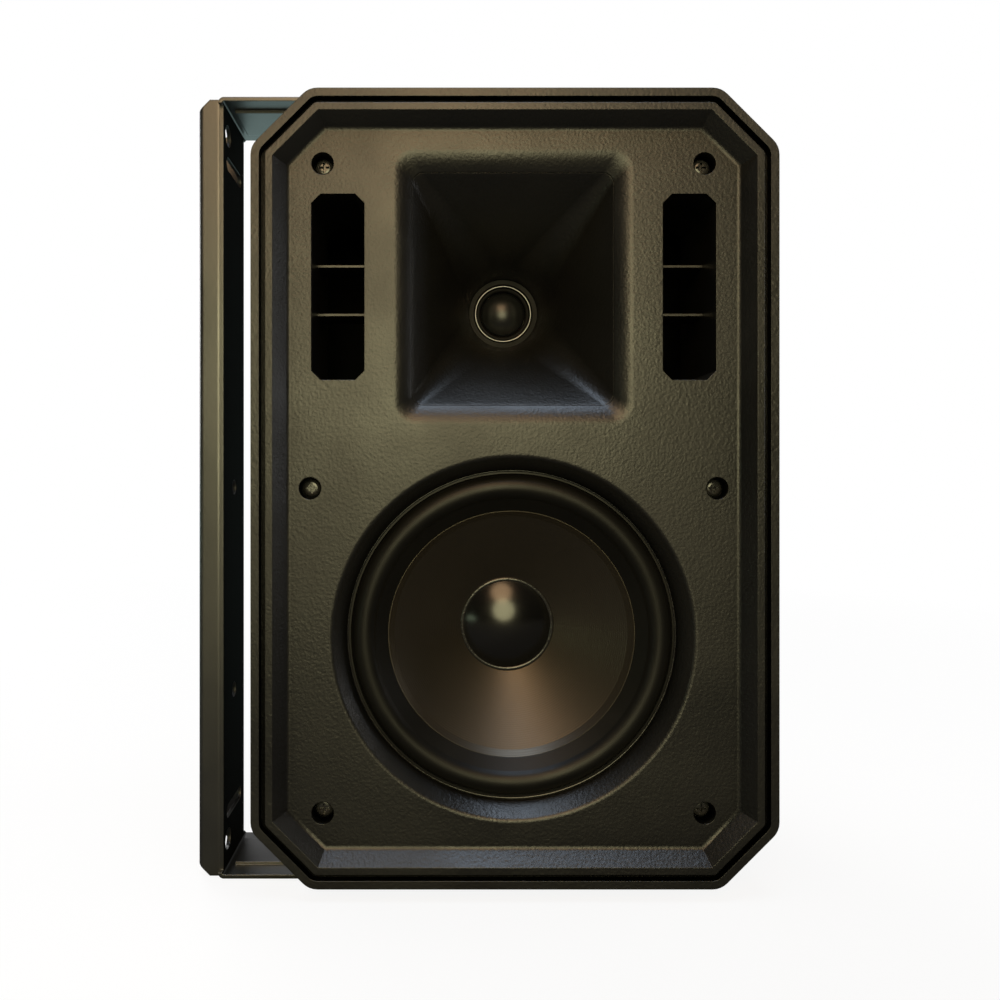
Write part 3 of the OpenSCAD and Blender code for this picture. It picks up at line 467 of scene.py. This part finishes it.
def finish_of(
    name, colour, roughness, metallic=0.0, mottle=(30, 0.15), grain=(900, 0.3, 0.1),
    edges=0.0, edge_colour=None, rough_spread=0.08, painted_shade_width=0.0, shine=0.5,
):
    """The common finish: a mottled colour, changing gloss, fine grain and rounded edges.

    mottle is its scale and spread, and grain its scale, strength and depth. The painted shade width is the
    width of the narrow places that get painted shade: they turn metallic and black, which takes their gloss.
    """
    material, tree, shader = new_finish(name)
    tone = placed_group(tree, "soft_mottle", Color=(*colour, 1), Scale=float(mottle[0]), Spread=mottle[1])
    base = tone["Color"]
    under = {}
    if edges:
        edge = placed_group(tree, "rounded_edges", Radius=edges * MM)
        under["Normal"] = edge["Normal"]
        if edge_colour:
            base = mixed(tree, edge["Mask"], base, (*edge_colour, 1))
    scale, strength, depth = grain
    moulded = placed_group(
        tree, "moulded_grain", Scale=float(scale), Strength=strength, Depth=depth * MM, **under
    )
    gloss = remap(tree, tone["Value"], 0.3, 0.7, roughness - rough_spread, roughness + rough_spread)
    shader.inputs["Specular IOR Level"].default_value = shine
    shader.inputs["Metallic"].default_value = metallic
    # Painted shade in narrow places: a darker base colour and less gloss there.
    if painted_shade_width:
        shade = placed_group(tree, "painted_crevice_shade", Distance=painted_shade_width * MM)["Value"]
        base = scaled(tree, base, shade)
        tree.links.new(maths(tree, "SUBTRACT", 1.0, shade), shader.inputs["Metallic"])
    tree.links.new(base, shader.inputs["Base Color"])
    tree.links.new(gloss, shader.inputs["Roughness"])
    tree.links.new(moulded["Normal"], shader.inputs["Normal"])
    return material


def ringed_finish(name, colour, roughness, spacing, depth, metallic=0.0):
    """A finish with fine rings about the woofer's axis."""
    material, tree, shader = new_finish(name)
    tone = placed_group(tree, "soft_mottle", Color=(*colour, 1), Scale=35.0, Spread=0.18)
    rings = placed_group(tree, "turned_rings", Centre=tuple(WOOFER), Spacing=spacing * MM)["Value"]
    fine = placed_group(tree, "moulded_grain", Scale=1500.0, Strength=0.25, Depth=0.06 * MM)["Normal"]
    bump = add(
        tree, "ShaderNodeBump", None, Strength=0.5, Distance=depth * MM, Height=rings, Normal=fine
    )
    gloss = remap(tree, rings, 0.0, 1.0, roughness - 0.04, roughness + 0.05)
    tree.links.new(tone["Color"], shader.inputs["Base Color"])
    tree.links.new(gloss, shader.inputs["Roughness"])
    tree.links.new(bump.outputs[0], shader.inputs["Normal"])
    shader.inputs["Metallic"].default_value = metallic
    return material


def woven_finish(name, colour, roughness, scale, depth):
    """A cloth with crossed threads."""
    material, tree, shader = new_finish(name)
    tone = placed_group(tree, "soft_mottle", Color=(*colour, 1), Scale=60.0, Spread=0.2)
    weave = placed_group(tree, "cloth_weave", Scale=float(scale))["Value"]
    bump = add(tree, "ShaderNodeBump", None, Strength=0.6, Distance=depth * MM, Height=weave)
    tree.links.new(tone["Color"], shader.inputs["Base Color"])
    tree.links.new(bump.outputs[0], shader.inputs["Normal"])
    shader.inputs["Roughness"].default_value = roughness
    shader.inputs["Sheen Weight"].default_value = 0.3
    return material


def shader_of(material):
    return material.node_tree.nodes["Principled BSDF"]


def paint_shade_on_inner_side(material):
    """Painted shade: darkens the faces that look along X, on the inner side of the bracket's spine, and
    takes their gloss off.
    """
    tree = material.node_tree
    sockets = shader_of(material).inputs
    facing = parts_of(tree, add(tree, "ShaderNodeNewGeometry").outputs["True Normal"])["X"]
    # Painted shade: black and matt where the face looks along X.
    inner_side_shade = remap(tree, facing, 0.5, 0.9, 0.0, 0.99)
    gloss = sockets["Roughness"].links[0].from_socket
    tree.links.new(maths(tree, "MAXIMUM", gloss, inner_side_shade), sockets["Roughness"])
    tree.links.new(inner_side_shade, sockets["Metallic"])


def background_share(tree, depth, mirror):
    """Where the white background shows: to the camera, and behind the loudspeaker also in reflections."""
    path = add(tree, "ShaderNodeLightPath").outputs
    behind = remap(tree, depth, 0.05, 0.6, 0.0, 1.0)
    clear = maths(tree, "MAXIMUM", path["Is Glossy Ray"], path["Is Transmission Ray"])
    mirrored = maths(tree, "MULTIPLY", maths(tree, "MULTIPLY", clear, behind), mirror)
    return maths(tree, "MAXIMUM", path["Is Camera Ray"], mirrored)


def floor_finish():
    """A pale floor, white to the camera and dark to the underside of the loudspeaker."""
    material, tree, shader = new_finish("pale_floor")
    tone = placed_group(tree, "soft_mottle", Color=(0.82, 0.82, 0.82, 1), Scale=2.0, Spread=0.02)
    seen = add(tree, "ShaderNodeLightPath").outputs["Is Camera Ray"]
    shade = mixed(tree, seen, (0.10, 0.10, 0.10, 1), tone["Color"])
    tree.links.new(shade, shader.inputs["Base Color"])
    shader.inputs["Roughness"].default_value = 0.9
    shader.inputs["Specular IOR Level"].default_value = 0.1
    tint = mixed(tree, seen, (0.72, 1.0, 0.96, 1), (1, 1, 1, 1))
    glow = add(tree, "ShaderNodeEmission", None, Color=tint, Strength=1.0)
    place = coordinates(tree)
    white = remap(tree, length_of(tree, place), 0.3, 1.3, 0.88, 1.0)
    share = maths(tree, "MULTIPLY", background_share(tree, parts_of(tree, place)["Y"], 1.0), white)
    mix = add(tree, "ShaderNodeMixShader", None, i0=share, i1=shader.outputs[0], i2=glow.outputs[0])
    output = next(node for node in tree.nodes if node.type == "OUTPUT_MATERIAL")
    tree.links.new(mix.outputs[0], output.inputs["Surface"])
    return material


def studio_world():
    """A dim room whose background is white to the camera."""
    world = bpy.data.worlds.new("studio")
    world.use_nodes = True
    tree = world.node_tree
    tree.nodes.clear()
    way = parts_of(tree, coordinates(tree, "Generated"))
    level = remap(tree, way["Z"], -0.4, 1.0, 0.004, 0.05)
    lit = add(tree, "ShaderNodeBackground", None, Color=(0.95, 0.97, 1.0, 1), Strength=level)
    white = add(tree, "ShaderNodeBackground", None, Color=(1, 1, 1, 1), Strength=1.0)
    share = background_share(tree, way["Y"], 0.12)
    mix = add(tree, "ShaderNodeMixShader", None, i0=share, i1=lit.outputs[0], i2=white.outputs[0])
    add(tree, "ShaderNodeOutputWorld", None, Surface=mix.outputs[0])
    return world


# Settings that a user would change

class LoudspeakerLook(bpy.types.PropertyGroup):
    housing_colour: bpy.props.FloatVectorProperty(
        name="Housing", description="Colour of the moulded front and cabinet",
        subtype="COLOR", size=3, min=0, max=1, default=(0.0038, 0.0037, 0.0032),
    )
    bracket_colour: bpy.props.FloatVectorProperty(
        name="Bracket", description="Colour of the bracket's powder coat",
        subtype="COLOR", size=3, min=0, max=1, default=(0.0048, 0.0048, 0.0040),
    )
    cone_colour: bpy.props.FloatVectorProperty(
        name="Cone", description="Colour of the woofer's cone",
        subtype="COLOR", size=3, min=0, max=1, default=(0.0055, 0.0050, 0.0042),
    )
    grain_size: bpy.props.FloatProperty(
        name="Grain", description="Size of the moulded grain",
        unit="LENGTH", default=0.0011, min=0.0003, max=0.004,
    )
    bead_width: bpy.props.FloatProperty(
        name="Bead", description="Width of the glue bead at the woofer's seam",
        unit="LENGTH", default=0.0012, min=0.0005, max=0.003,
    )
    camera_distance: bpy.props.FloatProperty(
        name="Camera distance", description="Distance of the camera from the front",
        unit="LENGTH", default=0.380, min=0.2, max=3,
    )
    lens: bpy.props.FloatProperty(
        name="Lens", description="Focal length of the camera",
        unit="CAMERA", default=28.5, min=10, max=200,
    )


class LOUDSPEAKER_OT_stage(bpy.types.Operator):
    """Sets up the pale floor, the soft lights and the camera of the photograph"""

    bl_idname = "loudspeaker.stage"
    bl_label = "Stage"

    def execute(self, context):
        look = context.scene.loudspeaker_look
        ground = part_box("bracket")[0].z - 0.2 * MM
        clear_selection()
        bpy.ops.mesh.primitive_plane_add(size=FLOOR_SIZE, location=(BAFFLE.x, 0, ground))
        floor = bpy.context.object
        floor.name = "floor"
        settle(floor)
        floor.data.materials.append(floor_finish())
        context.scene.world = studio_world()

        for name, offset, power, size, colour in LIGHTS:
            place = BAFFLE + Vector(offset)
            clear_selection()
            bpy.ops.object.light_add(type="AREA", location=place)
            light = bpy.context.object
            light.name = name
            light.data.shape = "DISK"
            light.data.energy = power
            light.data.size = size
            light.data.color = colour
            light.rotation_euler = (BAFFLE - place).to_track_quat("-Z", "Y").to_euler()

        clear_selection()
        stand = (VIEW_X, FRONT - look.camera_distance, VIEW_Z)
        bpy.ops.object.camera_add(location=stand, rotation=(math.pi / 2, 0, 0))
        camera = bpy.context.object
        camera.name = "photo_view"
        camera.data.lens = look.lens
        camera.data.sensor_width = SENSOR
        camera.data.shift_x = SHIFT_X
        camera.data.shift_y = SHIFT_Y
        camera.data.clip_start = 0.02
        context.scene.camera = camera
        context.scene.view_settings.view_transform = "Standard"
        return {"FINISHED"}


class LOUDSPEAKER_OT_housing(bpy.types.Operator):
    """Finishes the moulded front, the cabinet, the port ducts and their gaskets"""

    bl_idname = "loudspeaker.housing"
    bl_label = "Housing"

    def execute(self, context):
        look = context.scene.loudspeaker_look
        # The moulded front, horn and cabinet get painted shade in their grooves and recesses.
        moulded = finish_of(
            "moulded_black", look.housing_colour, 0.41, mottle=(14, 0.12),
            grain=(1 / look.grain_size, 0.6, 0.18), painted_shade_width=9,
            edges=0.5, edge_colour=(0.009, 0.0085, 0.007),
        )
        paint(moulded, "front_baffle", "horn_flare", "cabinet_shell")
        soften("front_baffle", "horn_flare", "cabinet_shell")
        duct = finish_of(
            "duct_black", (0.0055, 0.0052, 0.0045), 0.40,
            grain=(1800, 0.2, 0.05), edges=0.25, edge_colour=(0.02, 0.02, 0.02),
        )
        paint(duct, "port_duct_left", "port_duct_right")
        foam = finish_of("foam_gasket", (0.03, 0.03, 0.03), 0.9, grain=(2500, 0.8, 0.2))
        paint(foam, "cabinet_gasket", "woofer_gasket", "terminal_gasket")
        screw = finish_of(
            "black_screw", (0.05, 0.05, 0.05), 0.22, metallic=0.6,
            grain=(2500, 0.15, 0.04), edges=0.2, edge_colour=(0.08, 0.08, 0.08),
        )
        paint(screw, "baffle_screws")
        return {"FINISHED"}


class LOUDSPEAKER_OT_bracket(bpy.types.Operator):
    """Finishes the folded steel bracket, its pivots and the other bare metal"""

    bl_idname = "loudspeaker.bracket"
    bl_label = "Bracket"

    def execute(self, context):
        look = context.scene.loudspeaker_look
        coat = finish_of(
            "bracket_steel", look.bracket_colour, 0.36, mottle=(10, 0.1),
            grain=(700, 0.25, 0.08), edges=0.9, edge_colour=(0.03, 0.03, 0.03), shine=1.0,
        )
        # Painted shade on the inner side of the spine.
        paint_shade_on_inner_side(coat)
        paint(coat, "bracket")
        zinc = finish_of(
            "zinc_steel", (0.42, 0.42, 0.40), 0.35, metallic=1.0,
            grain=(1800, 0.2, 0.04), edges=0.3, edge_colour=(0.6, 0.6, 0.58),
        )
        paint(zinc, "pivot_shims", "woofer_screws", "tweeter_screws", "board_screws")
        paint(zinc, "woofer_top_plate", "woofer_back_plate", "tweeter_top_plate", "tweeter_back_plate")
        dark = finish_of(
            "pivot_black", (0.05, 0.05, 0.052), 0.34, metallic=0.9,
            grain=(2200, 0.15, 0.04), edges=0.35, edge_colour=(0.2, 0.2, 0.2),
        )
        paint(dark, "pivot_bolts", "pivot_washers", "terminal_screws")
        brass = finish_of("brass", (0.72, 0.50, 0.22), 0.3, metallic=1.0, grain=(1800, 0.15, 0.03))
        paint(brass, "pivot_inserts")
        rubber = finish_of(
            "rubber_black", (0.018, 0.018, 0.018), 0.6,
            grain=(1400, 0.3, 0.06), edges=0.5, edge_colour=(0.03, 0.03, 0.03),
        )
        paint(rubber, "pivot_spacers")
        return {"FINISHED"}


class LOUDSPEAKER_OT_woofer(bpy.types.Operator):
    """Models the rubber surround and the glue beads, and finishes the woofer"""

    bl_idname = "loudspeaker.woofer"
    bl_label = "Woofer"

    def execute(self, context):
        look = context.scene.loudspeaker_look
        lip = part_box("woofer_gasket")[0].y + GASKET
        self.add_surround(lip)
        glue = finish_of(
            "glue_bead", (0.012, 0.012, 0.012), 0.18, mottle=(200, 0.3), grain=(900, 0.5, 0.15)
        )
        self.add_seam_bead(lip, look.bead_width, glue)
        self.add_cap_bead(glue)
        cone = ringed_finish("cone_black", look.cone_colour, 0.40, 0.9, 0.05)
        shader_of(cone).inputs["Specular IOR Level"].default_value = 0.9
        shader_of(cone).inputs["Specular Tint"].default_value = (1.0, 0.86, 0.68, 1)
        paint(cone, "woofer_cone")
        cap = finish_of(
            "cap_black", (0.0035, 0.0035, 0.0035), 0.2,
            mottle=(25, 0.2), grain=(600, 0.05, 0.05), rough_spread=0.03,
        )
        paint(cap, "woofer_dust_cap")
        self.finish_motor()
        return {"FINISHED"}

    def add_surround(self, lip):
        """A half-round roll of rubber from the lip on the frame to the foot on the cone."""
        rubber = finish_of(
            "surround_rubber", (0.0035, 0.0034, 0.0028), 0.42, mottle=(40, 0.15),
            grain=(2200, 0.18, 0.04), rough_spread=0.05, shine=0.22,
        )
        middle = (ROLL_OUTER + ROLL_INNER) / 2
        roll = (ROLL_OUTER - ROLL_INNER) / 2
        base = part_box("woofer_surround")[0].y + roll
        front = half_round(middle, base, roll, roll, 15)[:-2]
        back = half_round(middle, base, roll - RUBBER, roll - RUBBER, 15)[::-1]
        foot = [(SURROUND_FOOT + 0.3 * MM, base - RUBBER), (SURROUND_FOOT, base - 0.2 * MM)]
        profile = [(SURROUND_EDGE, lip), (ROLL_OUTER + 0.4 * MM, lip), *front, *foot, *back]
        profile += [(ROLL_OUTER - RUBBER, base), (SURROUND_EDGE, lip + RUBBER)]
        ring = spun("surround_roll", profile, WOOFER, 128)
        smooth(ring, 50)
        dress(ring, rubber, None)
        flex(ring, "cabinet", "woofer_moving", WOOFER, ROLL_OUTER, ROLL_INNER)
        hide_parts("woofer_surround")

    def add_seam_bead(self, lip, width, glue):
        """An uneven bead of glue on the lip, round the roll."""
        foot = lip + 0.05 * MM
        profile = half_round(SEAM, lip, width / 2, width * 0.35, 5)
        profile += [(SEAM - width / 2, foot), (SEAM + width / 2, foot)]
        bead = spun("seam_bead", profile, WOOFER, 180)
        roughen(bead, 0.03 * MM, 4)
        smooth(bead, 80)
        dress(bead, glue, "cabinet")

    def add_cap_bead(self, glue):
        """The bead of glue where the dust cap meets the cone."""
        low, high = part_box("woofer_dust_cap")
        rim, cap_r = high.y, (high.x - low.x) / 2
        profile = half_round(cap_r - 0.2 * MM, rim - 0.1 * MM, 1.3 * MM, 0.9 * MM, 5)
        profile += [(cap_r - 1.5 * MM, rim + 0.1 * MM), (cap_r + 1.1 * MM, rim + 0.1 * MM)]
        bead = spun("cap_bead", profile, WOOFER, 96)
        smooth(bead, 60)
        dress(bead, glue, "woofer_moving")

    def finish_motor(self):
        """The frame, the suspension, the coils and the magnets, also of the tweeter and the crossover."""
        frame_black = finish_of(
            "frame_black", (0.03, 0.03, 0.032), 0.4, metallic=0.3, grain=(1200, 0.25, 0.05)
        )
        paint(frame_black, "woofer_frame")
        paint(finish_of("former_tan", (0.55, 0.40, 0.20), 0.5, grain=(1500, 0.2, 0.04)), "woofer_former")
        paint(woven_finish("spider_cloth", (0.62, 0.48, 0.25), 0.85, 1200, 0.1), "woofer_spider")
        ferrite = finish_of("ferrite", (0.035, 0.035, 0.037), 0.55, grain=(700, 0.5, 0.1))
        paint(ferrite, "woofer_magnet", "tweeter_magnet")
        copper = ringed_finish("copper_winding", (0.62, 0.25, 0.10), 0.3, 0.5, 0.1, metallic=0.9)
        paint(copper, "woofer_coil", "tweeter_coil", "inductor_large", "inductor_small")
        contact = finish_of(
            "contact_brass", (0.70, 0.52, 0.26), 0.32, metallic=1.0, grain=(1500, 0.2, 0.03)
        )
        paint(contact, "woofer_tags", "terminal_contacts")


class LOUDSPEAKER_OT_tweeter(bpy.types.Operator):
    """Models the bright ring round the dome and finishes the tweeter"""

    bl_idname = "loudspeaker.tweeter"
    bl_label = "Tweeter"

    def execute(self, context):
        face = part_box("tweeter_faceplate")[0].y + 0.5 * MM
        profile = half_round(DOME_RING, face - 0.03 * MM, 0.28 * MM, 0.26 * MM, 6)
        ring = spun("dome_ring", profile, TWEETER, 96)
        smooth(ring, 80)
        metal = finish_of(
            "ring_metal", (0.36, 0.36, 0.38), 0.34, metallic=1.0, grain=(2500, 0.1, 0.02)
        )
        dress(ring, metal, "cabinet")
        plate = finish_of("plate_black", (0.003, 0.003, 0.003), 0.5, grain=(1600, 0.2, 0.05), shine=0.1)
        paint(plate, "tweeter_faceplate")
        roll = finish_of("tweeter_roll", (0.003, 0.003, 0.003), 0.55, grain=(2500, 0.2, 0.03), shine=0.08)
        paint(roll, "tweeter_surround")
        dome = finish_of(
            "dome_dark", (0.006, 0.0065, 0.007), 0.3, metallic=0.2,
            grain=(900, 0.08, 0.03), rough_spread=0.03,
        )
        paint(dome, "tweeter_dome")
        return {"FINISHED"}


class LOUDSPEAKER_OT_terminals(bpy.types.Operator):
    """Finishes the terminal cup and its levers"""

    bl_idname = "loudspeaker.terminals"
    bl_label = "Terminals"

    def execute(self, context):
        cup = finish_of(
            "cup_black", (0.018, 0.018, 0.018), 0.38,
            grain=(1300, 0.3, 0.06), edges=0.35, edge_colour=(0.04, 0.04, 0.04),
        )
        paint(cup, "terminal_cup")
        for shade, colour in (("red", (0.45, 0.02, 0.015)), ("black", (0.018, 0.018, 0.018))):
            lever = finish_of(
                f"lever_{shade}", colour, 0.32, mottle=(80, 0.08), grain=(1800, 0.15, 0.03), edges=0.3
            )
            paint(lever, f"terminal_lever_{shade}")
        return {"FINISHED"}


class LOUDSPEAKER_OT_inside(bpy.types.Operator):
    """Models the damping pad and finishes the crossover"""

    bl_idname = "loudspeaker.inside"
    bl_label = "Inside"

    def execute(self, context):
        board = finish_of(
            "board_green", (0.03, 0.14, 0.05), 0.4, mottle=(300, 0.15), grain=(1500, 0.2, 0.03)
        )
        paint(board, "crossover_board")
        paint(finish_of("capacitor_film", (0.62, 0.45, 0.06), 0.35, grain=(900, 0.1, 0.03)), "capacitors")
        paint(finish_of("resistor_cement", (0.66, 0.65, 0.60), 0.8, grain=(1400, 0.6, 0.1)), "resistor")
        self.add_pad()
        return {"FINISHED"}

    def add_pad(self):
        """A felt pad, thick in the middle and thin at its edges, with an uneven surface."""
        low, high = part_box("damping_sheet")
        size, middle = high - low, (high + low) / 2
        clear_selection()
        bpy.ops.mesh.primitive_cube_add(size=1, location=middle)
        pad = bpy.context.object
        pad.name = "damping_pad"
        pad.scale = (size.x * 0.94, size.y * 0.8, size.z * 0.94)
        settle(pad)
        edit_all(pad)
        bpy.ops.mesh.subdivide(number_cuts=11)
        leave_edit()
        for vertex in pad.data.vertices:
            u = (vertex.co.x - middle.x) / size.x * 2
            v = (vertex.co.z - middle.z) / size.z * 2
            crown = max(0.0, 1 - u ** 4) * max(0.0, 1 - v ** 4)
            vertex.co.y = middle.y + (vertex.co.y - middle.y) * (0.55 + 0.65 * crown)
        roughen(pad, 0.4 * MM, 7)
        pad.modifiers.new("rounded", "SUBSURF").levels = 1
        apply_modifiers(pad)
        smooth(pad, 60)
        dress(pad, woven_finish("felt", (0.62, 0.62, 0.60), 0.95, 400, 0.5), "cabinet")
        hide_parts("damping_sheet")


class LOUDSPEAKER_PT_panel(bpy.types.Panel):
    """Lists the settings and the steps of the loudspeaker"""

    bl_idname = "LOUDSPEAKER_PT_panel"
    bl_label = "Loudspeaker"
    bl_space_type = "VIEW_3D"
    bl_region_type = "UI"
    bl_category = "Loudspeaker"

    def draw(self, context):
        look = context.scene.loudspeaker_look
        for setting in LoudspeakerLook.__annotations__:
            self.layout.prop(look, setting)
        for step in STEPS:
            self.layout.operator(step.bl_idname)


STEPS = (
    LOUDSPEAKER_OT_stage,
    LOUDSPEAKER_OT_housing,
    LOUDSPEAKER_OT_bracket,
    LOUDSPEAKER_OT_woofer,
    LOUDSPEAKER_OT_tweeter,
    LOUDSPEAKER_OT_terminals,
    LOUDSPEAKER_OT_inside,
)


def register():
    for part in (LoudspeakerLook, *STEPS, LOUDSPEAKER_PT_panel):
        bpy.utils.register_class(part)
    bpy.types.Scene.loudspeaker_look = bpy.props.PointerProperty(type=LoudspeakerLook)


def unregister():
    del bpy.types.Scene.loudspeaker_look
    for part in reversed((LoudspeakerLook, *STEPS, LOUDSPEAKER_PT_panel)):
        bpy.utils.unregister_class(part)


def main():
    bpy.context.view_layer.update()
    register()
    bpy.ops.loudspeaker.stage()
    bpy.ops.loudspeaker.housing()
    bpy.ops.loudspeaker.bracket()
    bpy.ops.loudspeaker.woofer()
    bpy.ops.loudspeaker.tweeter()
    bpy.ops.loudspeaker.terminals()
    bpy.ops.loudspeaker.inside()
    clear_selection()


if __name__ == "__main__":
    main()
